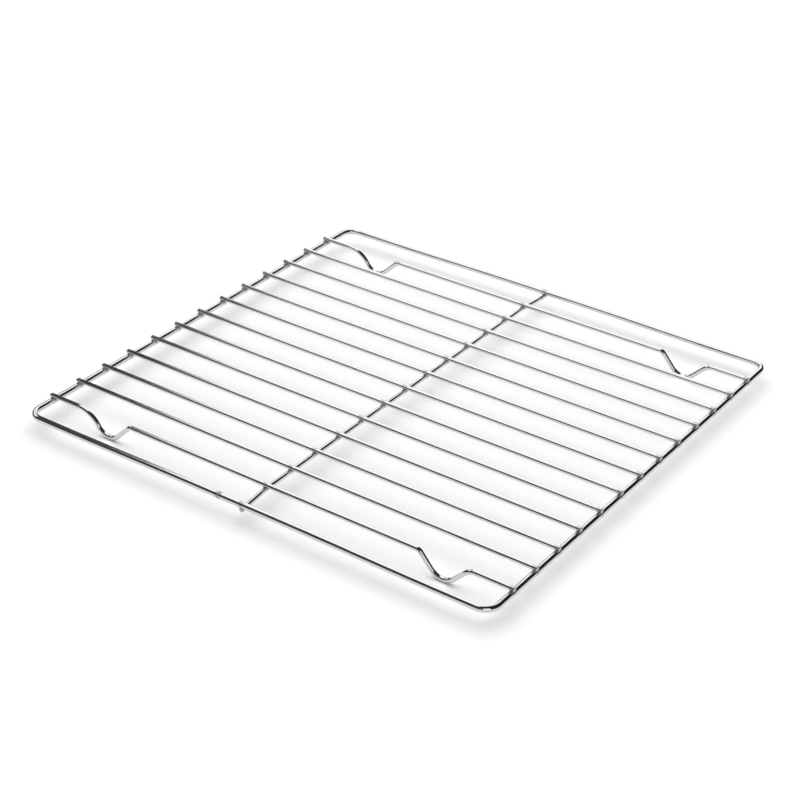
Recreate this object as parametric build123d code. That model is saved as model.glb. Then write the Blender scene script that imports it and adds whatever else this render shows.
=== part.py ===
from build123d import *
import math
import os

# A wire cooling rack, in millimetres. One bent wire makes the frame, and its two ends are
# butt-welded on the front rail. Thirteen cross wires lie on the side rails, and the first and
# the last of them dip into the four feet. One brace runs from front to back under them all.
# +X runs to the right along the cross wires, +Y to the back and +Z up.
# The origin is below the middle of the rack, on the plane that the feet stand on.

# Wire diameters
FRAME_WIRE = 4.0
CROSS_WIRE = 3.0
BRACE_WIRE = 3.0

# Frame: outside width and depth, and the corner radius of the wire's centreline
FRAME_WIDTH = 335.0
FRAME_DEPTH = 330.0
CORNER_RADIUS = 9.0

# The front and back rails are sprung up in the middle, where the brace passes under them
CROWN_RISE = 0.9
CROWN_FLAT = 100.0
CROWN_END_CLEARANCE = 41.5

# Cross wires: their spacing, the distance from the front rail to the first of them, and what
# their ends stand past the centreline of the side rails
CROSS_COUNT = 13
CROSS_PITCH = 23.0
FRONT_GAP = 21.4
CROSS_REACH = 1.7
BRACE_REACH = 1.0
END_CHAMFER = 0.25

# Feet: how far they drop below the wire, and the radii of the bends that are alike on both
# sides, all on the wire's centreline
FOOT_DROP = 12.85
FOOT_BOTTOM_RADIUS = 10.0
FOOT_INNER_RADIUS = 4.0

# Feet: where the two legs would meet, measured in from the side rail, the slope of the outer
# and the inner leg, and the radius of the bend above the outer leg
LEFT_FOOT_INSET = 43.7
LEFT_OUTER_ANGLE = 55.0
LEFT_INNER_ANGLE = 44.0
LEFT_OUTER_RADIUS = 18.0
RIGHT_FOOT_INSET = 44.2
RIGHT_OUTER_ANGLE = 45.0
RIGHT_INNER_ANGLE = 48.5
RIGHT_OUTER_RADIUS = 10.0

BRACE_BEND_RADIUS = 60.0

# Resistance welds: how far one wire sinks into the other, and the bead pressed out around
# the joint past the middle of it
SET_DOWN = 0.35
BEAD_RADIUS = 1.7
BEAD_HEIGHT = 1.2
BEAD_FILLET = 0.35

# Butt weld of the frame: its place on the front rail, the weld metal between the two ends,
# and the collar around them
BUTT_WELD_X = -16.5
BUTT_GAP = 0.6
BUTT_COLLAR_LENGTH = 2.2
BUTT_COLLAR_HEIGHT = 0.45

# Centrelines of the rails and the wires
rail_x = (FRAME_WIDTH - FRAME_WIRE) / 2
rail_y = (FRAME_DEPTH - FRAME_WIRE) / 2
cross_places = [-rail_y + FRONT_GAP + CROSS_PITCH * i for i in range(CROSS_COUNT)]

# Heights of the centrelines, from the bottom of the feet up
cross_z = FOOT_DROP + CROSS_WIRE / 2
frame_z = cross_z - (CROSS_WIRE + FRAME_WIRE) / 2 + SET_DOWN
crown_z = frame_z + CROWN_RISE
brace_z = cross_z - (CROSS_WIRE + BRACE_WIRE) / 2 + SET_DOWN
brace_rail_z = crown_z - (FRAME_WIRE + BRACE_WIRE) / 2 + SET_DOWN


def bent_wire(points, radii, diameter):
    """A round wire along straight runs joined by tangent bends."""
    path = FilletPolyline(*points, radius=radii)
    section = Plane(origin=path @ 0, z_dir=path % 0) * Circle(diameter / 2)
    return sweep(section, path=path)


def chamfer_ends(wire):
    """Take the sharp edge off a wire's two sheared ends."""
    ends = wire.faces().filter_by(GeomType.PLANE)
    return chamfer(ends.edges(), END_CHAMFER)


def frame_wire():
    """The frame, from one side of the butt weld round to the other."""
    flat_x = CROWN_FLAT / 2
    ramp_x = rail_x - CORNER_RADIUS - CROWN_END_CLEARANCE
    ramp_run = ramp_x - flat_x
    turn = math.atan2(CROWN_RISE, ramp_run)
    weld_room = flat_x - abs(BUTT_WELD_X) - BUTT_COLLAR_LENGTH
    bend_reach = 0.9 * min(ramp_run / 2, weld_room, CROWN_END_CLEARANCE)
    crown_radius = bend_reach / math.tan(turn / 2)
    points = [
        (BUTT_WELD_X + BUTT_GAP / 2, -rail_y, crown_z),
        (flat_x, -rail_y, crown_z),
        (ramp_x, -rail_y, frame_z),
        (rail_x, -rail_y, frame_z),
        (rail_x, rail_y, frame_z),
        (ramp_x, rail_y, frame_z),
        (flat_x, rail_y, crown_z),
        (-flat_x, rail_y, crown_z),
        (-ramp_x, rail_y, frame_z),
        (-rail_x, rail_y, frame_z),
        (-rail_x, -rail_y, frame_z),
        (-ramp_x, -rail_y, frame_z),
        (-flat_x, -rail_y, crown_z),
        (BUTT_WELD_X - BUTT_GAP / 2, -rail_y, crown_z),
    ]
    crown, corner = [crown_radius] * 2, [CORNER_RADIUS] * 2
    return bent_wire(points, crown + corner + crown * 2 + corner + crown, FRAME_WIRE)


def frame_butt_weld(frame):
    """Weld metal between the frame's two ends, with the collar pressed out around them."""
    collar = Plane(origin=(BUTT_WELD_X, -rail_y, crown_z), z_dir=(1, 0, 0)) * Cylinder(
        FRAME_WIRE / 2 + BUTT_COLLAR_HEIGHT, BUTT_COLLAR_LENGTH
    )
    collar = fillet(collar.edges().filter_by(GeomType.CIRCLE), BUTT_COLLAR_HEIGHT * 0.9)
    return collar - frame


def centre_brace(frame):
    """The brace, level under the cross wires and bent down under the front and back rails."""
    first_y, last_y = cross_places[0], cross_places[-1]
    end_y = rail_y + BRACE_REACH
    fall = brace_rail_z - brace_z
    front_end_z = brace_z + fall * (end_y + first_y) / (rail_y + first_y)
    back_end_z = brace_z + fall * (end_y - last_y) / (rail_y - last_y)
    points = [
        (0, -end_y, front_end_z),
        (0, first_y, brace_z),
        (0, last_y, brace_z),
        (0, end_y, back_end_z),
    ]
    return chamfer_ends(bent_wire(points, [BRACE_BEND_RADIUS] * 2, BRACE_WIRE)) - frame


def cross_wire(y, frame, brace):
    """A straight cross wire, sunk into the side rails and the brace at its welds."""
    length = 2 * (rail_x + CROSS_REACH)
    wire = Pos(0, y, cross_z) * Rot(0, 90, 0) * Cylinder(CROSS_WIRE / 2, length)
    return chamfer_ends(wire) - frame - brace


def foot_corners(side, inset, outer_angle, inner_angle):
    """The outer corner, the meeting point of the legs and the inner corner of a foot, in XZ."""
    outer, inner = math.radians(outer_angle), math.radians(inner_angle)
    ratio = math.cos((outer - inner) / 2) / math.cos((outer + inner) / 2)
    apex = FOOT_DROP + FOOT_BOTTOM_RADIUS * (ratio - 1)
    apex_x = rail_x - inset
    outer_x = apex_x + apex / math.tan(outer)
    inner_x = apex_x - apex / math.tan(inner)
    return [(side * outer_x, cross_z), (side * apex_x, cross_z - apex), (side * inner_x, cross_z)]


def foot_wire(y, frame, brace):
    """A cross wire that dips into a foot near each side rail."""
    end_x = rail_x + CROSS_REACH
    left_foot = foot_corners(-1, LEFT_FOOT_INSET, LEFT_OUTER_ANGLE, LEFT_INNER_ANGLE)
    right_foot = foot_corners(1, RIGHT_FOOT_INSET, RIGHT_OUTER_ANGLE, RIGHT_INNER_ANGLE)
    profile = [(-end_x, cross_z)] + left_foot + right_foot[::-1] + [(end_x, cross_z)]
    points = [(x, y, z) for x, z in profile]
    left = [LEFT_OUTER_RADIUS, FOOT_BOTTOM_RADIUS, FOOT_INNER_RADIUS]
    right = [FOOT_INNER_RADIUS, FOOT_BOTTOM_RADIUS, RIGHT_OUTER_RADIUS]
    return chamfer_ends(bent_wire(points, left + right, CROSS_WIRE)) - frame - brace


def weld_bead(place, upper, lower):
    """The ring of metal pressed out where two crossing wires are welded together."""
    button = Pos(*place) * Cylinder(BEAD_RADIUS, BEAD_HEIGHT)
    button = fillet(button.edges().filter_by(GeomType.CIRCLE), BEAD_FILLET)
    return button - upper - lower


def write(name, solids):
    """Write one piece, or a group of separate alike pieces, as its own file."""
    shape = solids[0] if len(solids) == 1 else Compound(children=solids)
    export_step(shape, f"parts/{name}.step")


os.makedirs("parts", exist_ok=True)
frame = frame_wire()
brace = centre_brace(frame)
cross_wires = [cross_wire(y, frame, brace) for y in cross_places[1:-1]]
foot_wires = [foot_wire(y, frame, brace) for y in (cross_places[0], cross_places[-1])]
all_wires = [foot_wires[0]] + cross_wires + [foot_wires[1]]

# The joint faces lie half of the set-down above the lower surface of each upper wire
cross_joint_z = cross_z - CROSS_WIRE / 2 + SET_DOWN / 2
rail_joint_z = crown_z - FRAME_WIRE / 2 + SET_DOWN / 2


def bead_row(x, lower):
    """A bead under every cross wire, along one side rail or the brace."""
    return [
        weld_bead((x, y, cross_joint_z), wire, lower)
        for y, wire in zip(cross_places, all_wires)
    ]


write("frame_wire", [frame])
write("frame_butt_weld", [frame_butt_weld(frame)])
write("centre_brace", [brace])
write("foot_wire_front", [foot_wires[0]])
write("foot_wire_back", [foot_wires[1]])
for number, wire in enumerate(cross_wires, start=1):
    write(f"cross_wire_{number:02d}", [wire])
write("weld_beads_left", bead_row(-rail_x, frame))
write("weld_beads_right", bead_row(rail_x, frame))
write("weld_beads_brace", bead_row(0, brace))
write("weld_beads_rails", [weld_bead((0, y, rail_joint_z), frame, brace) for y in (-rail_y, rail_y)])
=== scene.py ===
# %% [markdown]
# # A wire cooling rack
# A cooling rack is bent and welded from drawn steel wire and then plated with chrome. One thick wire
# makes the frame, thirteen thinner wires lie across it, and one brace runs under them. The CAD model
# already holds every wire at its real place. Here each wire is drawn again with a finer, rounder
# surface, because the look of chrome depends on smooth curvature more than on anything else.

# %% Load the frame
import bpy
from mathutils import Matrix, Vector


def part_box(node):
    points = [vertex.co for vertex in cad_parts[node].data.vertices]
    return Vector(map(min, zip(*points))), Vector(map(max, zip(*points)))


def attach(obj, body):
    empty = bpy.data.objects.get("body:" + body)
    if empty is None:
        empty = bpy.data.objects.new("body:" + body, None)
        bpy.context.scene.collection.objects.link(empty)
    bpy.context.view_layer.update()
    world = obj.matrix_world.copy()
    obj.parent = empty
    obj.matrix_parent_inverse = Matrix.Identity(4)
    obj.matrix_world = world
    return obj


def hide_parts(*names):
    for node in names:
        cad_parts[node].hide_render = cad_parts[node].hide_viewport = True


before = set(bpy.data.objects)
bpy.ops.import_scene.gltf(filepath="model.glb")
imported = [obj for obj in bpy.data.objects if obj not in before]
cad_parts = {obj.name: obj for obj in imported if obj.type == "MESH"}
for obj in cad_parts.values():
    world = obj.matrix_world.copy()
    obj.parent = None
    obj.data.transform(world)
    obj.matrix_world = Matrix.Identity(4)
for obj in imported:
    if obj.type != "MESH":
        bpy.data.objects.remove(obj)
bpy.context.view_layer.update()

import math

import bpy
from mathutils import Matrix, Vector

MM = 0.001

# %% [markdown]
# ## Places, read from the CAD nodes
# Every place comes from the boxes of the CAD nodes, so the drawing cannot drift away from the model.
# A box gives where a wire starts and ends and how thick it is. It can't give the radius of a bend,
# so the bend radii are named here with the values that the wire bender was set to.

# %% Measure the wires
CROSS_NAMES = [f"cross_wire_{number:02d}" for number in range(1, 12)]
FOOT_NAMES = ["foot_wire_front", "foot_wire_back"]


def centre_of(node):
    """The middle of a node's box."""
    low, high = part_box(node)
    return (low + high) / 2


cross_low, cross_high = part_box(CROSS_NAMES[0])
cross_radius = (cross_high.y - cross_low.y) / 2
cross_z = cross_high.z - cross_radius
cross_end_x = cross_high.x
cross_pitch = centre_of(CROSS_NAMES[1]).y - centre_of(CROSS_NAMES[0]).y

frame_low, frame_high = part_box("frame_wire")
brace_low, brace_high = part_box("centre_brace")
brace_radius = (brace_high.x - brace_low.x) / 2
foot_low_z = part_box(FOOT_NAMES[0])[0].z
front_y, back_y = (centre_of(node).y for node in FOOT_NAMES)
middle_y = (front_y + back_y) / 2

frame_radius = 2.0 * MM
SET_DOWN = 0.35 * MM      # how far a wire sinks into the one that it is welded to
rail_x = frame_high.x - frame_radius
rail_y = frame_high.y - frame_radius
frame_z = frame_low.z + frame_radius
crown_z = frame_high.z - frame_radius
brace_z = brace_high.z - brace_radius
print(f"cross wires {2 * cross_radius / MM:.1f} mm thick, {cross_pitch / MM:.1f} mm apart")
print(f"rails at x {rail_x / MM:.1f}, y {rail_y / MM:.1f} mm")

# %% [markdown]
# ## Bending a wire
# A wire bender feeds a straight length, bends it round a pin, and feeds the next length. The same two
# moves draw a wire here: a round face is **extruded** for each straight length and **spun** round the
# pin for each bend. The alternative is a bevelled curve, but its rings bunch up in tight bends, while
# spin lays them evenly and keeps the section exactly round.

# %% Wire moves
RING = 32            # corners of a wire's round section
BEND_STEP = 5.0      # degrees of bend between two rings
END_ROUND = 0.3 * MM # the shears leave a slightly rounded end
GUARD = 1.0 * MM     # distance of the guard rings from the ends of a run
RIM_REACH = 1.05     # wire radii around the middle of an end within which its rim lies
SMOOTH_ANGLE = math.radians(40)


def wire_moves(points, radii):
    """Turn corner points and bend radii into runs and bends."""
    moves, cursor = [], points[0]
    for before, corner, after, radius in zip(points, points[1:], points[2:], radii):
        arriving = (corner - before).normalized()
        leaving = (after - corner).normalized()
        turn = arriving.angle(leaving)
        reach = radius * math.tan(turn / 2)
        bend_start = corner - arriving * reach
        axis = arriving.cross(leaving).normalized()
        pin = bend_start + axis.cross(arriving) * radius
        moves.append(("run", bend_start - cursor))
        moves.append(("bend", pin, axis, turn))
        cursor = corner + leaving * reach
    moves.append(("run", points[-1] - cursor))
    return moves


def pick_only(piece):
    """Leave one object selected and active."""
    bpy.ops.object.select_all(action="DESELECT")
    piece.select_set(True)
    bpy.context.view_layer.objects.active = piece


def pick_verts(piece, test):
    """In object mode, select just the vertices that pass a test."""
    mesh = piece.data
    for element in (mesh.vertices, mesh.edges, mesh.polygons):
        element.foreach_set("select", [False] * len(element))
    for vertex in mesh.vertices:
        vertex.select = test(vertex.co)


def run_steps(run):
    """Split a run, so that the shading of a bend or an end does not spread along the whole run."""
    if run.length < 4 * GUARD:
        return [run]
    guard = run.normalized() * GUARD
    return [guard, run - 2 * guard, guard]


def round_ends(piece, ends, radius):
    """Bevel the rims of the sheared ends, which lie at the given points."""
    pick_verts(piece, lambda co: any((co - end).length < RIM_REACH * radius for end in ends))
    bpy.ops.object.mode_set(mode="EDIT")
    bpy.ops.mesh.select_mode(type="VERT")
    bpy.ops.mesh.select_mode(type="EDGE")
    bpy.ops.mesh.bevel(
        offset=END_ROUND, offset_type="OFFSET", segments=4, profile=0.5, clamp_overlap=True
    )
    bpy.ops.object.mode_set(mode="OBJECT")


def draw_wire(name, points, radii, radius):
    """Draw a bent wire as a run and spin of one round face, and round its ends."""
    points = [Vector(point) for point in points]
    moves = wire_moves(points, radii)
    heading = (points[1] - points[0]).to_track_quat("Z", "Y").to_euler()
    bpy.ops.object.select_all(action="DESELECT")
    bpy.ops.mesh.primitive_circle_add(
        vertices=RING, radius=radius, fill_type="NGON", location=points[0], rotation=heading
    )
    wire = bpy.context.object
    wire.name = name
    bpy.ops.object.transform_apply(location=True, rotation=True, scale=True)
    bpy.ops.object.mode_set(mode="EDIT")
    bpy.ops.mesh.select_mode(type="FACE")
    bpy.ops.mesh.select_all(action="SELECT")
    for move in moves:
        if move[0] == "run":
            for step in run_steps(move[1]):
                bpy.ops.mesh.extrude_region_move(TRANSFORM_OT_translate={"value": step})
        else:
            pin, axis, turn = move[1:]
            steps = max(4, round(math.degrees(turn) / BEND_STEP))
            bpy.ops.mesh.spin(steps=steps, angle=-turn, center=pin, axis=axis)
    bpy.ops.mesh.select_all(action="SELECT")
    bpy.ops.mesh.normals_make_consistent(inside=False)
    bpy.ops.object.mode_set(mode="OBJECT")
    round_ends(wire, [points[0], points[-1]], radius)
    bpy.ops.object.shade_smooth_by_angle(angle=SMOOTH_ANGLE)
    straight = sum(move[1].length for move in moves if move[0] == "run")
    faces = len(wire.data.polygons)
    print(f"{name}: {len(moves)} moves, {faces} faces, {straight / MM:.0f} mm of it straight")
    return wire


# %% [markdown]
# ## The frame
# The frame is one wire, bent at four corners. Its front and back rails are sprung up a little in the
# middle, because the brace has to pass under them and still touch the cross wires. Each spring is a
# pair of very wide bends, so the same drawing moves make it. The wire starts and ends at the butt
# weld, a little left of the middle of the front rail.

# %% Draw the frame
CORNER_RADIUS = 9.0 * MM
CROWN_HALF = 50.0 * MM    # half of the level top of the crown
CROWN_END = 41.5 * MM     # from the start of a corner to the foot of the crown's ramp
CROWN_BEND_SHARE = 0.9    # share of the room beside a crown bend that the bend takes up
BUTT_GAP = 0.6 * MM       # weld metal between the frame's two ends

weld_low, weld_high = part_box("frame_butt_weld")
butt_weld = (weld_low + weld_high) / 2
collar_length = weld_high.x - weld_low.x
ramp_x = rail_x - CORNER_RADIUS - CROWN_END
ramp_turn = math.atan2(crown_z - frame_z, ramp_x - CROWN_HALF)
weld_room = CROWN_HALF - abs(butt_weld.x) - collar_length
crown_reach = CROWN_BEND_SHARE * min((ramp_x - CROWN_HALF) / 2, weld_room, CROWN_END)
crown_radius = crown_reach / math.tan(ramp_turn / 2)


def half_rail(side, y, outward):
    """The corner points of half a crowned rail, from its middle out or from its corner in."""
    points = [
        (side * CROWN_HALF, y, crown_z), (side * ramp_x, y, frame_z), (side * rail_x, y, frame_z)
    ]
    return points if outward else points[::-1]


frame_points = [(butt_weld.x + BUTT_GAP / 2, -rail_y, crown_z)]
frame_points += half_rail(1, -rail_y, True) + half_rail(1, rail_y, False)
frame_points += half_rail(-1, rail_y, True) + half_rail(-1, -rail_y, False)
frame_points += [(butt_weld.x - BUTT_GAP / 2, -rail_y, crown_z)]
crown_bends, corner_bends = [crown_radius] * 2, [CORNER_RADIUS] * 2
frame_radii = crown_bends + corner_bends + crown_bends * 2 + corner_bends + crown_bends
frame_wire = draw_wire("frame_wire_drawn", frame_points, frame_radii, frame_radius)

# %% [markdown]
# ## The brace
# The brace is nearly straight. It lies level under the cross wires and dips at each end to pass under
# the rails, so it has one slight bend under the first and the last cross wire.

# %% Draw the brace
BRACE_BEND_RADIUS = 60.0 * MM
BRACE_REACH = 1.0 * MM    # what the brace's ends stand past the rails

brace_end_y = rail_y + BRACE_REACH
brace_fall = crown_z - frame_radius - brace_radius + SET_DOWN - brace_z
front_end_z = brace_z + brace_fall * (brace_end_y + front_y) / (rail_y + front_y)
back_end_z = brace_z + brace_fall * (brace_end_y - back_y) / (rail_y - back_y)
brace_points = [
    (0, -brace_end_y, front_end_z),
    (0, front_y, brace_z),
    (0, back_y, brace_z),
    (0, brace_end_y, back_end_z),
]
brace = draw_wire("centre_brace_drawn", brace_points, [BRACE_BEND_RADIUS] * 2, brace_radius)

# %% [markdown]
# ## The cross wires
# Eleven cross wires are plain lengths, sheared at both ends. One is drawn and the rest are copies,
# each with its own mesh, moved to the place of its CAD node.

# %% Draw the straight cross wires
def copy_to(piece, name, shift):
    """A copy with its own mesh, moved inside the mesh so that the object stays at the origin."""
    twin = piece.copy()
    twin.data = piece.data.copy()
    twin.name = name
    twin.data.transform(Matrix.Translation(shift))
    bpy.context.scene.collection.objects.link(twin)
    return twin


first_y = centre_of(CROSS_NAMES[0]).y
end_points = [(-cross_end_x, first_y, cross_z), (cross_end_x, first_y, cross_z)]
cross_wires = [draw_wire(CROSS_NAMES[0] + "_drawn", end_points, [], cross_radius)]
for node in CROSS_NAMES[1:]:
    shift = Vector((0, centre_of(node).y - first_y, 0))
    cross_wires.append(copy_to(cross_wires[0], node + "_drawn", shift))
print(len(cross_wires), "straight cross wires")

# %% [markdown]
# ## The feet
# The first and the last cross wire dip twice to make four feet. A foot is a V with a round bottom. On
# the left its outer leg leaves the wire in a wide sweep, and every other bend is tight, because the
# real wire was pressed in one stroke between tools that gripped it harder on one side.

# %% Draw the foot wires
FOOT_BOTTOM_RADIUS = 10.0 * MM
FOOT_INNER_RADIUS = 4.0 * MM
LEFT_FOOT = {"side": -1, "inset": 43.7 * MM, "outer": 55.0, "inner": 44.0, "sweep": 18.0 * MM}
RIGHT_FOOT = {"side": 1, "inset": 44.2 * MM, "outer": 45.0, "inner": 48.5, "sweep": 10.0 * MM}

foot_drop = cross_z - cross_radius - foot_low_z


def foot_corners(y, side, inset, outer, inner, sweep):
    """The outer corner, the point where the legs would meet, and the inner corner of a foot."""
    outer, inner = math.radians(outer), math.radians(inner)
    ratio = math.cos((outer - inner) / 2) / math.cos((outer + inner) / 2)
    apex = foot_drop + FOOT_BOTTOM_RADIUS * (ratio - 1)
    apex_x = rail_x - inset
    outer_x, inner_x = apex_x + apex / math.tan(outer), apex_x - apex / math.tan(inner)
    return [
        (side * outer_x, y, cross_z),
        (side * apex_x, y, cross_z - apex),
        (side * inner_x, y, cross_z),
    ]


foot_path = foot_corners(front_y, **LEFT_FOOT) + foot_corners(front_y, **RIGHT_FOOT)[::-1]
foot_path = [(-cross_end_x, front_y, cross_z)] + foot_path + [(cross_end_x, front_y, cross_z)]
foot_bends = [LEFT_FOOT["sweep"], FOOT_BOTTOM_RADIUS, FOOT_INNER_RADIUS]
foot_bends += [FOOT_INNER_RADIUS, FOOT_BOTTOM_RADIUS, RIGHT_FOOT["sweep"]]
front_foot = draw_wire("foot_wire_front_drawn", foot_path, foot_bends, cross_radius)
back_foot = copy_to(front_foot, "foot_wire_back_drawn", Vector((0, back_y - front_y, 0)))
foot_wires = [front_foot, back_foot]
print(f"feet drop {foot_drop / MM:.2f} mm below the wire")

# %% [markdown]
# ## Weld beads
# Each crossing is a resistance weld: two copper electrodes squeeze the wires, a current melts the
# contact, and a little metal is pressed out around it. A bead starts as a flattened ball at the joint
# face. Its points are then moved a little at random and smoothed, which is what makes it look like
# metal that flowed and not like a turned part. Three different beads are made, and the crossings
# use them in turn.

# %% Make the beads
BEAD_RADIUS = 1.6 * MM
BEAD_HALF_HEIGHT = 0.45 * MM
BEAD_ROUGHNESS = 0.2 * MM
BEAD_SEEDS = (3, 11, 27)
LUMP_SMOOTHING = 2


def lumpy(piece, amount, seed):
    """Move every point a little at random, then smooth the lumps."""
    pick_only(piece)
    bpy.ops.object.mode_set(mode="EDIT")
    bpy.ops.mesh.select_mode(type="VERT")
    bpy.ops.mesh.select_all(action="SELECT")
    bpy.ops.transform.vertex_random(offset=amount, uniform=0.7, normal=0.3, seed=seed)
    bpy.ops.mesh.vertices_smooth(factor=0.5, repeat=LUMP_SMOOTHING)
    bpy.ops.object.mode_set(mode="OBJECT")
    bpy.ops.object.shade_smooth()


def make_bead(name, place, seed):
    """One bead at a joint face."""
    bpy.ops.object.select_all(action="DESELECT")
    bpy.ops.mesh.primitive_uv_sphere_add(
        segments=24, ring_count=14, radius=BEAD_RADIUS, location=place
    )
    bead = bpy.context.object
    bead.name = name
    bead.scale = (1.0, 1.0, BEAD_HALF_HEIGHT / BEAD_RADIUS)
    bpy.ops.object.transform_apply(location=True, rotation=True, scale=True)
    lumpy(bead, BEAD_ROUGHNESS, seed)
    return bead


joint_z = cross_z - cross_radius + SET_DOWN / 2
rail_joint_z = crown_z - frame_radius + SET_DOWN / 2
bead_kinds = [make_bead(f"bead_kind_{seed}", (0, 0, 0), seed) for seed in BEAD_SEEDS]
cross_ys = [front_y] + [centre_of(node).y for node in CROSS_NAMES] + [back_y]


def bead_group(name, places, turn_by):
    """Beads at the given places, joined into one piece."""
    beads = []
    for number, place in enumerate(places):
        bead = copy_to(bead_kinds[number % len(bead_kinds)], f"{name}_{number}", Vector((0, 0, 0)))
        spin = Matrix.Rotation(math.radians(turn_by * number), 4, "Z")
        bead.data.transform(Matrix.Translation(Vector(place)) @ spin)
        beads.append(bead)
    bpy.ops.object.select_all(action="DESELECT")
    for bead in beads:
        bead.select_set(True)
    bpy.context.view_layer.objects.active = beads[0]
    bpy.ops.object.join()
    beads[0].name = name
    print(f"{name}: {len(places)} beads")
    return beads[0]


left_beads = bead_group("weld_beads_left_drawn", [(-rail_x, y, joint_z) for y in cross_ys], 77)
right_beads = bead_group("weld_beads_right_drawn", [(rail_x, y, joint_z) for y in cross_ys], 131)
brace_beads = bead_group("weld_beads_brace_drawn", [(0, y, joint_z) for y in cross_ys], 59)
rail_places = [(0, -rail_y, rail_joint_z), (0, rail_y, rail_joint_z)]
rail_beads = bead_group("weld_beads_rails_drawn", rail_places, 90)
for kind in bead_kinds:
    bpy.data.objects.remove(kind)

# %% [markdown]
# ## The butt weld
# Where the frame wire meets itself, its two hot ends were pushed together and a ring of metal came
# out. It starts as a short cylinder a little thicker than the wire. Its rims are bevelled round, and
# then it gets the same lumps as the beads.

# %% Make the butt weld's collar
COLLAR_ROUND = 0.8 * MM
COLLAR_ROUGHNESS = 0.12 * MM
SAME_PLACE = 0.1 * MM     # two points closer along the wire than this lie on one rim
COLLAR_HEIGHT = 0.22 * MM
collar_radius = frame_radius + COLLAR_HEIGHT
bpy.ops.object.select_all(action="DESELECT")
bpy.ops.mesh.primitive_cylinder_add(
    vertices=RING, radius=collar_radius, depth=collar_length, location=butt_weld,
    rotation=(0, math.radians(90), 0)
)
collar = bpy.context.object
collar.name = "frame_butt_weld_drawn"
bpy.ops.object.transform_apply(location=True, rotation=True, scale=True)
bpy.ops.object.mode_set(mode="EDIT")
bpy.ops.mesh.select_mode(type="EDGE")
bpy.ops.mesh.select_all(action="DESELECT")
bpy.ops.object.mode_set(mode="OBJECT")
for edge in collar.data.edges:
    start, end = (collar.data.vertices[i].co for i in edge.vertices)
    edge.select = abs(start.x - end.x) < SAME_PLACE
bpy.ops.object.mode_set(mode="EDIT")
bpy.ops.mesh.bevel(offset=COLLAR_ROUND, offset_type="OFFSET", segments=5, profile=0.6)
bpy.ops.object.mode_set(mode="OBJECT")
lumpy(collar, COLLAR_ROUGHNESS, 5)
print("collar", len(collar.data.polygons), "faces")

# %% [markdown]
# ## Finishes: shared effects
# Chrome plate has almost no colour of its own. What tells it from a perfect mirror is small: fine die
# lines along the wire from drawing it, cloudy patches where the plate is thinner, a dull haze beside
# each weld, and scuffs from stacking and washing. Each effect is one **node group**, built once, with
# its inputs named, so that every material can use it with its own values. The groups read Object
# coordinates, which are the place in the shared frame, so nothing stretches round the bends.

# %% Small helpers for node trees
def make_group(name, inputs, outputs):
    """A new node group with value or vector inputs, and value outputs."""
    group = bpy.data.node_groups.new(name, "ShaderNodeTree")
    for socket, kind in inputs:
        group.interface.new_socket(name=socket, in_out="INPUT", socket_type=kind)
    for socket in outputs:
        group.interface.new_socket(name=socket, in_out="OUTPUT", socket_type="NodeSocketFloat")
    return group, group.nodes.new("NodeGroupInput"), group.nodes.new("NodeGroupOutput")


def feed(tree, socket, value):
    """Link a socket to another, or give it a plain value."""
    if isinstance(value, bpy.types.NodeSocket):
        tree.links.new(value, socket)
    else:
        socket.default_value = value


def maths(tree, operation, first, second=0.0, third=0.0):
    """One Math node; returns its output."""
    node = tree.nodes.new("ShaderNodeMath")
    node.operation = operation
    for socket, value in zip(node.inputs, (first, second, third)):
        feed(tree, socket, value)
    return node.outputs[0]


def fade(tree, value, start, end, low=0.0, high=1.0):
    """Turn a value between start and end into a smooth change from low to high."""
    node = tree.nodes.new("ShaderNodeMapRange")
    node.interpolation_type = "SMOOTHSTEP"
    for socket, number in zip(node.inputs[:5], (value, start, end, low, high)):
        feed(tree, socket, number)
    return node.outputs[0]


def noise(tree, place, stretch, detail=2.0):
    """Noise of a given fineness per metre along X, Y and Z; returns its value."""
    scale = tree.nodes.new("ShaderNodeVectorMath")
    scale.operation = "MULTIPLY"
    feed(tree, scale.inputs[0], place)
    feed(tree, scale.inputs[1], stretch)
    node = tree.nodes.new("ShaderNodeTexNoise")
    node.inputs["Scale"].default_value = 1.0
    node.inputs["Detail"].default_value = detail
    tree.links.new(scale.outputs[0], node.inputs["Vector"])
    return node.outputs["Fac"]


VALUE, VECTOR = "NodeSocketFloat", "NodeSocketVector"
print("helpers ready")

# %% [markdown]
# ### The four effects
# The numbers are fineness per metre: 90 gives patches about a centimetre across, 1400 gives grain
# finer than a millimetre. A scratch is noise that is fine across it and coarse along it. The haze
# repeats along a wire at the spacing of its welds, so one group serves every wire.

# %% The shared effects
CLOUD_FINENESS, MOTTLE_FINENESS = (90.0, 90.0, 90.0), (1400.0, 1400.0, 1400.0)
HAZE_EDGE_FINENESS = (700.0, 700.0, 700.0)
SCRATCH_ALONG_X, SCRATCH_ALONG_Y = (420.0, 2600.0, 900.0), (2600.0, 420.0, 900.0)
SCUFF_PATCH_FINENESS = (35.0, 35.0, 35.0)
MOTTLE_SHARE = 0.35


def build_die_lines():
    """Fine lines along the wire: noise squeezed to a tenth of a millimetre round it."""
    group, given, out = make_group("die_lines", [("Place", VECTOR), ("Stretch", VECTOR)], ["Lines"])
    lines = noise(group, given.outputs["Place"], given.outputs["Stretch"], 3.0)
    feed(group, out.inputs["Lines"], fade(group, lines, 0.42, 0.68))
    return group


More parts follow.
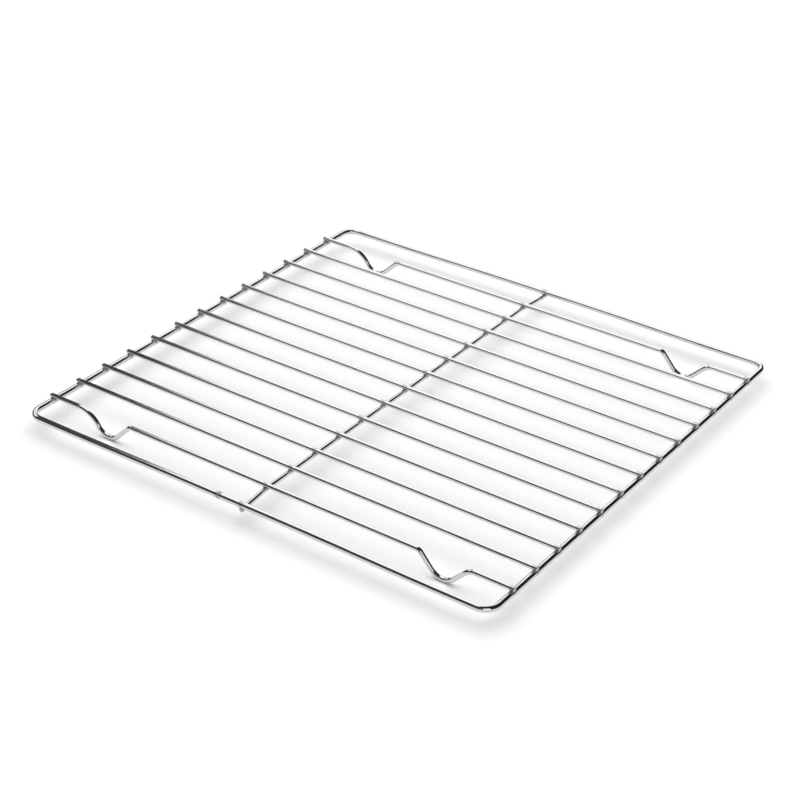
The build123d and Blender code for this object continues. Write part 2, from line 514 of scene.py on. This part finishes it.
def build_plate_clouds():
    """Cloudy patches a few millimetres across, with fine mottling inside them."""
    group, given, out = make_group("plate_clouds", [("Place", VECTOR)], ["Clouds"])
    broad = noise(group, given.outputs["Place"], CLOUD_FINENESS, 3.0)
    fine = noise(group, given.outputs["Place"], MOTTLE_FINENESS, 2.0)
    mixed = maths(group, "MULTIPLY_ADD", fine, MOTTLE_SHARE, broad)
    feed(group, out.inputs["Clouds"], fade(group, mixed, 0.5, 0.9))
    return group


def build_weld_haze():
    """Dull plate within a few millimetres of each weld along a wire, with a ragged edge."""
    inputs = [("Place", VECTOR), ("Along", VALUE), ("Spacing", VALUE), ("Reach", VALUE)]
    group, given, out = make_group("weld_haze", inputs, ["Haze"])
    cells = maths(group, "DIVIDE", given.outputs["Along"], given.outputs["Spacing"])
    nearest = maths(group, "MULTIPLY", maths(group, "ROUND", cells), given.outputs["Spacing"])
    distance = maths(group, "ABSOLUTE", maths(group, "SUBTRACT", given.outputs["Along"], nearest))
    ragged = noise(group, given.outputs["Place"], HAZE_EDGE_FINENESS, 3.0)
    edge = maths(group, "MULTIPLY", given.outputs["Reach"], fade(group, ragged, 0.2, 0.8, 0.45, 1.3))
    share = maths(group, "DIVIDE", distance, edge)
    feed(group, out.inputs["Haze"], fade(group, share, 0.35, 1.0, 1.0, 0.0))
    return group


def build_scuffs():
    """Sparse short scratches on the side that faces up, and under the feet."""
    group, given, out = make_group("scuffs", [("Place", VECTOR), ("Exposed", VALUE)], ["Scuffs"])
    scratch = noise(group, given.outputs["Place"], SCRATCH_ALONG_X, 4.0)
    crossing = noise(group, given.outputs["Place"], SCRATCH_ALONG_Y, 4.0)
    both = maths(group, "MAXIMUM", scratch, crossing)
    patches = fade(group, noise(group, given.outputs["Place"], SCUFF_PATCH_FINENESS), 0.45, 0.65)
    marks = maths(group, "MULTIPLY", fade(group, both, 0.66, 0.74), patches)
    feed(group, out.inputs["Scuffs"], maths(group, "MULTIPLY", marks, given.outputs["Exposed"]))
    return group


effects = {
    "die_lines": build_die_lines(),
    "plate_clouds": build_plate_clouds(),
    "weld_haze": build_weld_haze(),
    "scuffs": build_scuffs(),
}
print("shared effects:", ", ".join(effects))

# %% [markdown]
# ## Finishes: the chrome
# All wires get the same chrome, and only the direction of the die lines and the places of the welds
# differ. Metallic is 1 and the base colour is a light neutral grey, because chrome reflects about two
# thirds of the light. The effects only add to the roughness, darken the plate a little beside the
# welds, and raise a bump of a few thousandths of a millimetre.

# %% Make a chrome finish
PLATE_TONE = (0.63, 0.632, 0.635, 1.0)
HAZE_TONE = (0.34, 0.34, 0.34, 1.0)
SHEARED_TONE = (0.45, 0.45, 0.45, 1.0)
WELD_TONE = (0.42, 0.42, 0.42, 1.0)
PLATE_ROUGHNESS = 0.05
CLOUD_ROUGHNESS, LINE_ROUGHNESS, HAZE_ROUGHNESS = 0.04, 0.04, 0.08
SCUFF_ROUGHNESS, CUT_ROUGHNESS = 0.25, 0.3
HAZE_TONE_SHARE = 0.6
BUMP_DEPTH = 0.02 * MM
ALONG_X, ALONG_Y = (45.0, 6500.0, 6500.0), (6500.0, 45.0, 6500.0)
print("chrome roughness from", PLATE_ROUGHNESS)


def place_effect(tree, name, **values):
    """Place one shared effect in a material and feed its inputs; returns its output."""
    node = tree.nodes.new("ShaderNodeGroup")
    node.node_tree = effects[name]
    for socket, value in values.items():
        feed(tree, node.inputs[socket], value)
    return node.outputs[0]


def new_finish(name):
    """A material with its Principled shader and the place in the shared frame, split up too."""
    finish = bpy.data.materials.new(name)
    finish.use_nodes = True
    tree = finish.node_tree
    shader = tree.nodes["Principled BSDF"]
    shader.inputs["Metallic"].default_value = 1.0
    place = tree.nodes.new("ShaderNodeTexCoord").outputs["Object"]
    split = tree.nodes.new("ShaderNodeSeparateXYZ")
    tree.links.new(place, split.inputs[0])
    return finish, tree, shader, place, split.outputs


def mix_tones(tree, share, first, second):
    """Mix two colours; returns the mixed colour."""
    node = tree.nodes.new("ShaderNodeMix")
    node.data_type = "RGBA"
    feed(tree, node.inputs[0], share)
    feed(tree, node.inputs[6], first)
    feed(tree, node.inputs[7], second)
    return node.outputs[2]


def facing_up(tree):
    """How far the surface faces up, from 0 at its sides to 1 on top."""
    normal = tree.nodes.new("ShaderNodeNewGeometry").outputs["Normal"]
    split = tree.nodes.new("ShaderNodeSeparateXYZ")
    tree.links.new(normal, split.inputs[0])
    return fade(tree, split.outputs[2], 0.2, 0.9)


def finish_chrome(tree, shader, place, lines, haze, exposed, cut):
    """Bring the effects together on the shader of a chrome finish."""
    clouds = place_effect(tree, "plate_clouds", Place=place)
    scuffs = place_effect(tree, "scuffs", Place=place, Exposed=exposed)
    roughness = maths(tree, "MULTIPLY_ADD", clouds, CLOUD_ROUGHNESS, PLATE_ROUGHNESS)
    roughness = maths(tree, "MULTIPLY_ADD", lines, LINE_ROUGHNESS, roughness)
    roughness = maths(tree, "MULTIPLY_ADD", haze, HAZE_ROUGHNESS, roughness)
    roughness = maths(tree, "MULTIPLY_ADD", scuffs, SCUFF_ROUGHNESS, roughness)
    roughness = maths(tree, "MULTIPLY_ADD", cut, CUT_ROUGHNESS, roughness)
    tree.links.new(roughness, shader.inputs["Roughness"])
    tone = mix_tones(tree, maths(tree, "MULTIPLY", haze, HAZE_TONE_SHARE), PLATE_TONE, HAZE_TONE)
    tone = mix_tones(tree, cut, tone, SHEARED_TONE)
    tree.links.new(tone, shader.inputs["Base Color"])
    height = maths(tree, "MULTIPLY_ADD", lines, 0.25, maths(tree, "MULTIPLY", clouds, 0.35))
    height = maths(tree, "SUBTRACT", height, maths(tree, "MULTIPLY", scuffs, 0.6))
    bump = tree.nodes.new("ShaderNodeBump")
    bump.inputs["Strength"].default_value = 0.35
    bump.inputs["Distance"].default_value = BUMP_DEPTH
    tree.links.new(height, bump.inputs["Height"])
    tree.links.new(bump.outputs[0], shader.inputs["Normal"])


# %% [markdown]
# ### Three kinds of wire
# A cross wire runs along X and is welded at the rails and the brace, which are evenly spaced, so its
# haze repeats at the rail's distance from the middle. The brace runs along Y and is welded once in
# every gap's width. The frame does both: its side rails are like the brace, and its front and back
# rails are only welded to the brace and at the butt weld.

# %% Chrome for the cross wires, the brace and the frame
HAZE_REACH = 2.6 * MM      # how far the dull plate reaches from a weld
SHEAR_DEPTH = 0.12 * MM    # depth of the duller skin on a sheared end
WEAR_HEIGHT = 0.5 * MM     # height of the worn bottom of the feet
RAIL_EDGE = 2.0 * MM       # width of the change from one rail's lines to the next one's
WELD_ROUGHNESS, WELD_BUMP_DEPTH = 0.24, 0.06 * MM
PIT_FINENESS = (3800.0, 3800.0, 3800.0)


def past(tree, value, edge, reach):
    """1 where the size of a value passes an edge, fading in over a short reach."""
    return fade(tree, maths(tree, "ABSOLUTE", value), edge - reach, edge)


def cross_wire_chrome():
    """Chrome on the cross wires and the foot wires."""
    finish, tree, shader, place, (x, y, z) = new_finish("cross_wire_chrome")
    lines = place_effect(tree, "die_lines", Place=place, Stretch=ALONG_X)
    haze = place_effect(tree, "weld_haze", Place=place, Along=x, Spacing=rail_x, Reach=HAZE_REACH)
    worn = fade(tree, z, foot_low_z + WEAR_HEIGHT, foot_low_z)
    exposed = maths(tree, "MAXIMUM", facing_up(tree), worn)
    cut = past(tree, x, cross_end_x, SHEAR_DEPTH)
    finish_chrome(tree, shader, place, lines, haze, exposed, cut)
    return finish


def brace_chrome():
    """Chrome on the brace."""
    finish, tree, shader, place, (x, y, z) = new_finish("brace_chrome")
    lines = place_effect(tree, "die_lines", Place=place, Stretch=ALONG_Y)
    along = maths(tree, "SUBTRACT", y, middle_y)
    haze = place_effect(
        tree, "weld_haze", Place=place, Along=along, Spacing=cross_pitch, Reach=HAZE_REACH
    )
    cut = past(tree, y, brace_end_y, SHEAR_DEPTH)
    finish_chrome(tree, shader, place, lines, haze, facing_up(tree), cut)
    return finish


def frame_chrome():
    """Chrome on the frame, with lines along whichever rail it is."""
    finish, tree, shader, place, (x, y, z) = new_finish("frame_chrome")
    side = past(tree, x, rail_x - frame_radius, RAIL_EDGE)
    across = place_effect(tree, "die_lines", Place=place, Stretch=ALONG_X)
    along = place_effect(tree, "die_lines", Place=place, Stretch=ALONG_Y)
    lines = fade(tree, side, 0.0, 1.0, across, along)
    from_middle = maths(tree, "SUBTRACT", y, middle_y)
    row = place_effect(
        tree, "weld_haze", Place=place, Along=from_middle, Spacing=cross_pitch, Reach=HAZE_REACH
    )
    from_end = past(tree, from_middle, back_y - middle_y + cross_pitch / 2, RAIL_EDGE)
    row = maths(tree, "MULTIPLY", row, maths(tree, "SUBTRACT", side, from_end))
    row = maths(tree, "MAXIMUM", row, 0.0)
    middle = fade(tree, maths(tree, "ABSOLUTE", x), 0.4 * HAZE_REACH, HAZE_REACH, 1.0, 0.0)
    from_butt = maths(tree, "ABSOLUTE", maths(tree, "SUBTRACT", x, butt_weld.x))
    butt = fade(tree, from_butt, 0.5 * HAZE_REACH, 1.2 * HAZE_REACH, 1.0, 0.0)
    butt = maths(tree, "MULTIPLY", butt, fade(tree, y, 0.0, -rail_y / 2))
    haze = maths(tree, "MAXIMUM", row, maths(tree, "MAXIMUM", middle, butt))
    finish_chrome(tree, shader, place, lines, haze, facing_up(tree), 0.0)
    return finish


def weld_chrome():
    """Duller chrome over rough weld metal."""
    finish, tree, shader, place, _ = new_finish("weld_chrome")
    clouds = place_effect(tree, "plate_clouds", Place=place)
    pits = fade(tree, noise(tree, place, PIT_FINENESS, 3.0), 0.55, 0.7)
    roughness = maths(tree, "MULTIPLY_ADD", clouds, 0.15, WELD_ROUGHNESS)
    tree.links.new(roughness, shader.inputs["Roughness"])
    tree.links.new(mix_tones(tree, pits, WELD_TONE, HAZE_TONE), shader.inputs["Base Color"])
    bump = tree.nodes.new("ShaderNodeBump")
    bump.inputs["Strength"].default_value = 0.5
    bump.inputs["Distance"].default_value = WELD_BUMP_DEPTH
    height = maths(tree, "SUBTRACT", clouds, pits)
    tree.links.new(height, bump.inputs["Height"])
    tree.links.new(bump.outputs[0], shader.inputs["Normal"])
    return finish


finishes = {
    "cross": cross_wire_chrome(),
    "brace": brace_chrome(),
    "frame": frame_chrome(),
    "weld": weld_chrome(),
}
print("finishes:", ", ".join(finishes))


def give(piece, finish):
    """Put one finish on a piece."""
    piece.data.materials.clear()
    piece.data.materials.append(finishes[finish])


# %% [markdown]
# ## Hand the pieces over
# Each drawn piece stands for the CAD node of the same name and rides on the rack's one body. Its
# finish is one of the materials made above.

# %% Replace the CAD nodes
handed = []


def hand_over(piece, node, finish):
    """Finish a piece and let it stand for a CAD node."""
    give(piece, finish)
    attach(piece, "root")
    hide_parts(node)
    handed.append(piece)


hand_over(frame_wire, "frame_wire", "frame")
hand_over(brace, "centre_brace", "brace")
for wire, node in zip(cross_wires, CROSS_NAMES):
    hand_over(wire, node, "cross")
for wire, node in zip(foot_wires, FOOT_NAMES):
    hand_over(wire, node, "cross")
hand_over(collar, "frame_butt_weld", "weld")
for beads in (left_beads, right_beads, brace_beads, rail_beads):
    hand_over(beads, beads.name.removesuffix("_drawn"), "weld")
print(len(handed), "pieces handed over")

# %% [markdown]
# ## The floor
# The rack stands on a wide sheet of matt white paper. Its far edge lies outside the view, so that no
# horizon shows, and the paper is also what the undersides of the wires reflect.

# %% Floor
FLOOR_SIZE = 14.0
bpy.ops.object.select_all(action="DESELECT")
bpy.ops.mesh.primitive_plane_add(size=FLOOR_SIZE, location=(0, 0, 0))
floor = bpy.context.object
floor.name = "studio_floor"
paper = bpy.data.materials.new("white_paper")
paper.use_nodes = True
paper_shader = paper.node_tree.nodes["Principled BSDF"]
paper_shader.inputs["Base Color"].default_value = (0.86, 0.86, 0.86, 1.0)
paper_shader.inputs["Roughness"].default_value = 0.95
paper_shader.inputs["Specular IOR Level"].default_value = 0.1
floor.data.materials.append(paper)
print(f"floor {FLOOR_SIZE:.0f} m wide")

# %% [markdown]
# ## The lights
# Bright wire is lit as in a product studio. A very large softbox hangs overhead and makes the faint,
# wide shadows. It is kept out of the reflections, because a mirror under an even white sky looks like
# white paint. The wires reflect two panels instead, one above on the left and one behind, which give
# the bright line on top of each wire. Both panels have a dark gap with soft edges, like the space
# between two softboxes, so the bright line fades out towards the left ends of the cross wires. The gap
# is laid out by the place along a cross wire where each spot of a panel is mirrored, which keeps the
# dark part in line from wire to wire. A smaller panel at the front right lights the near bends of the
# feet and lifts the shadows on that side.

# %% Lights
REFLECTED_GLOW = 1.45     # radiance of the panels that the wires reflect
GAP_GLOW = 0.02           # share of it that is left inside the gap
GAP_RIGHT_EDGE = (-0.150, -0.060)    # places along a cross wire where the gap ends
GAP_LEFT_EDGE = (-0.270, -0.220)
MIRROR_Y = -0.080                    # the line across the rack that the gap is laid out on
VIEW_X, VIEW_REACH = 0.572, 0.968    # the eye's place along X, and its distance from that line
CEILING_PLACE, CEILING_SIZE = (-1.35, 0.25, 1.2), (2.5, 3.9)
BACK_PLACE, BACK_SIZE = (-1.6, 2.2, 0.6), (2.6, 1.2)
FRONT_PLACE, FRONT_SIZE, FRONT_AIM = (1.75, -1.75, 1.0), (1.6, 1.6), (-1.0, 1.0, -0.5)
OVERHEAD_PLACE, OVERHEAD_SIZE, OVERHEAD_AIM = (-0.35, 0.45, 2.7), (4.6, 4.6), (0.13, -0.16, -1.0)
OVERHEAD_GLOW = 2.5
DOWN, FORWARD = (0, 0, -1), (0, -1, 0)


def panel(name, place, aim, size, radiance):
    """A flat rectangular light at a place, aimed along a direction."""
    width, height = size
    bpy.ops.object.light_add(type="AREA", location=place)
    light = bpy.context.object
    light.name = name
    light.rotation_euler = Vector(aim).to_track_quat("-Z", "Y").to_euler()
    light.data.shape = "RECTANGLE"
    light.data.size = width
    light.data.size_y = height
    light.data.energy = radiance * math.pi * width * height
    return light


def dark_gap(light):
    """Darken a panel along the gap, with soft edges. A spot of the panel is told by the place along
    a cross wire where it is mirrored."""
    light.data.use_nodes = True
    tree = light.data.node_tree
    place = tree.nodes.new("ShaderNodeNewGeometry").outputs["Position"]
    split = tree.nodes.new("ShaderNodeSeparateXYZ")
    tree.links.new(place, split.inputs[0])
    x, y, z = split.outputs
    ahead = maths(tree, "SUBTRACT", y, MIRROR_Y)
    squares = maths(tree, "MULTIPLY_ADD", ahead, ahead, maths(tree, "MULTIPLY", z, z))
    reach = maths(tree, "SQRT", squares)
    mirrored = maths(tree, "MULTIPLY_ADD", reach, VIEW_X, maths(tree, "MULTIPLY", x, VIEW_REACH))
    mirrored = maths(tree, "DIVIDE", mirrored, maths(tree, "ADD", reach, VIEW_REACH))
    right = fade(tree, mirrored, *GAP_RIGHT_EDGE, 0.0, 1.0)
    left = fade(tree, mirrored, *GAP_LEFT_EDGE, 1.0, 0.0)
    lit = maths(tree, "MAXIMUM", right, left)
    emission = tree.nodes["Emission"]
    tree.links.new(fade(tree, lit, 0.0, 1.0, GAP_GLOW, 1.0), emission.inputs["Strength"])


overhead = panel("overhead_softbox", OVERHEAD_PLACE, OVERHEAD_AIM, OVERHEAD_SIZE, OVERHEAD_GLOW)
overhead.visible_glossy = False
ceiling = panel("ceiling_panel", CEILING_PLACE, DOWN, CEILING_SIZE, REFLECTED_GLOW)
backdrop = panel("back_panel", BACK_PLACE, FORWARD, BACK_SIZE, REFLECTED_GLOW)
front = panel("front_panel", FRONT_PLACE, FRONT_AIM, FRONT_SIZE, REFLECTED_GLOW)
for light in (ceiling, backdrop):
    light.visible_diffuse = False
    dark_gap(light)

# %% [markdown]
# ## The black card
# In a product studio a black card hangs just outside the view, so that polished metal gets a dark
# line beside its bright one. It is what makes a wire look round and metallic. The card hangs over the
# near side of the rack, and its straight back edge draws the sharp edge of the dark core. It is only
# there for the reflections: it isn't seen itself and it throws no shadow.

# %% Black card
CARD_EDGE_Y, CARD_HEIGHT = -0.255, 0.396
CARD_MIDDLE_X, CARD_WIDTH, CARD_DEPTH = -0.3, 1.4, 0.8
CARD_TONE = (0.02, 0.02, 0.02, 1.0)
card_place = (CARD_MIDDLE_X, CARD_EDGE_Y - CARD_DEPTH / 2, CARD_HEIGHT)
bpy.ops.mesh.primitive_plane_add(size=1.0, location=card_place)
card = bpy.context.object
card.name = "black_card"
card.scale = (CARD_WIDTH, CARD_DEPTH, 1.0)
black = bpy.data.materials.new("black_card")
black.use_nodes = True
black.node_tree.nodes["Principled BSDF"].inputs["Base Color"].default_value = CARD_TONE
card.data.materials.append(black)
card.visible_camera = False
card.visible_diffuse = False
card.visible_shadow = False
print("card", CARD_HEIGHT, "m above the floor")

# %% [markdown]
# ## The room
# Around the panels the room is nearly black, which is what the sides of the wires reflect.

# %% Dark room
ROOM_TONE = (0.03, 0.03, 0.03, 1.0)
room = bpy.data.worlds.new("dark_room")
room.use_nodes = True
room.node_tree.nodes["Background"].inputs["Color"].default_value = ROOM_TONE
bpy.context.scene.world = room
bpy.context.scene.view_settings.view_transform = "Standard"
print("room", room.name)

# %% [markdown]
# ## The camera
# The camera looks down on the rack from its front right, from far away with a long lens, so the rack
# keeps nearly parallel sides. It leans a little, as a hand-set tripod does.

# %% Camera
AZIMUTH, ELEVATION, LEAN = (math.radians(angle) for angle in (34.42, 30.62, 1.39))
DISTANCE = 50.586 * cross_pitch
LENS = 85.44
SENSOR = 36.0
FAR_CLIP = 50.0
AIM_SHIFT = Vector((6.25, -14.34, -0.18)) * MM    # from the middle of the wires to the aim

target = Vector((0, middle_y, cross_z)) + AIM_SHIFT
level_back = Vector((math.sin(AZIMUTH), -math.cos(AZIMUTH), 0))
back = level_back * math.cos(ELEVATION) + Vector((0, 0, math.sin(ELEVATION)))
level_right = (-back).cross(Vector((0, 0, 1))).normalized()
level_up = level_right.cross(-back)
right = level_right * math.cos(LEAN) + level_up * math.sin(LEAN)
up = level_up * math.cos(LEAN) - level_right * math.sin(LEAN)
bpy.ops.object.camera_add(location=(0, 0, 0))
camera = bpy.context.object
camera.name = "product_camera"
turned = Matrix((right, up, back)).transposed().to_4x4()
camera.matrix_world = Matrix.Translation(target + back * DISTANCE) @ turned
camera.data.lens = LENS
camera.data.sensor_width = SENSOR
camera.data.clip_end = FAR_CLIP
bpy.context.scene.camera = camera
print(f"camera {DISTANCE:.2f} m away, {LENS} mm lens")

# %% [markdown]
# ## Finish

# %% Finish
bpy.context.view_layer.update()
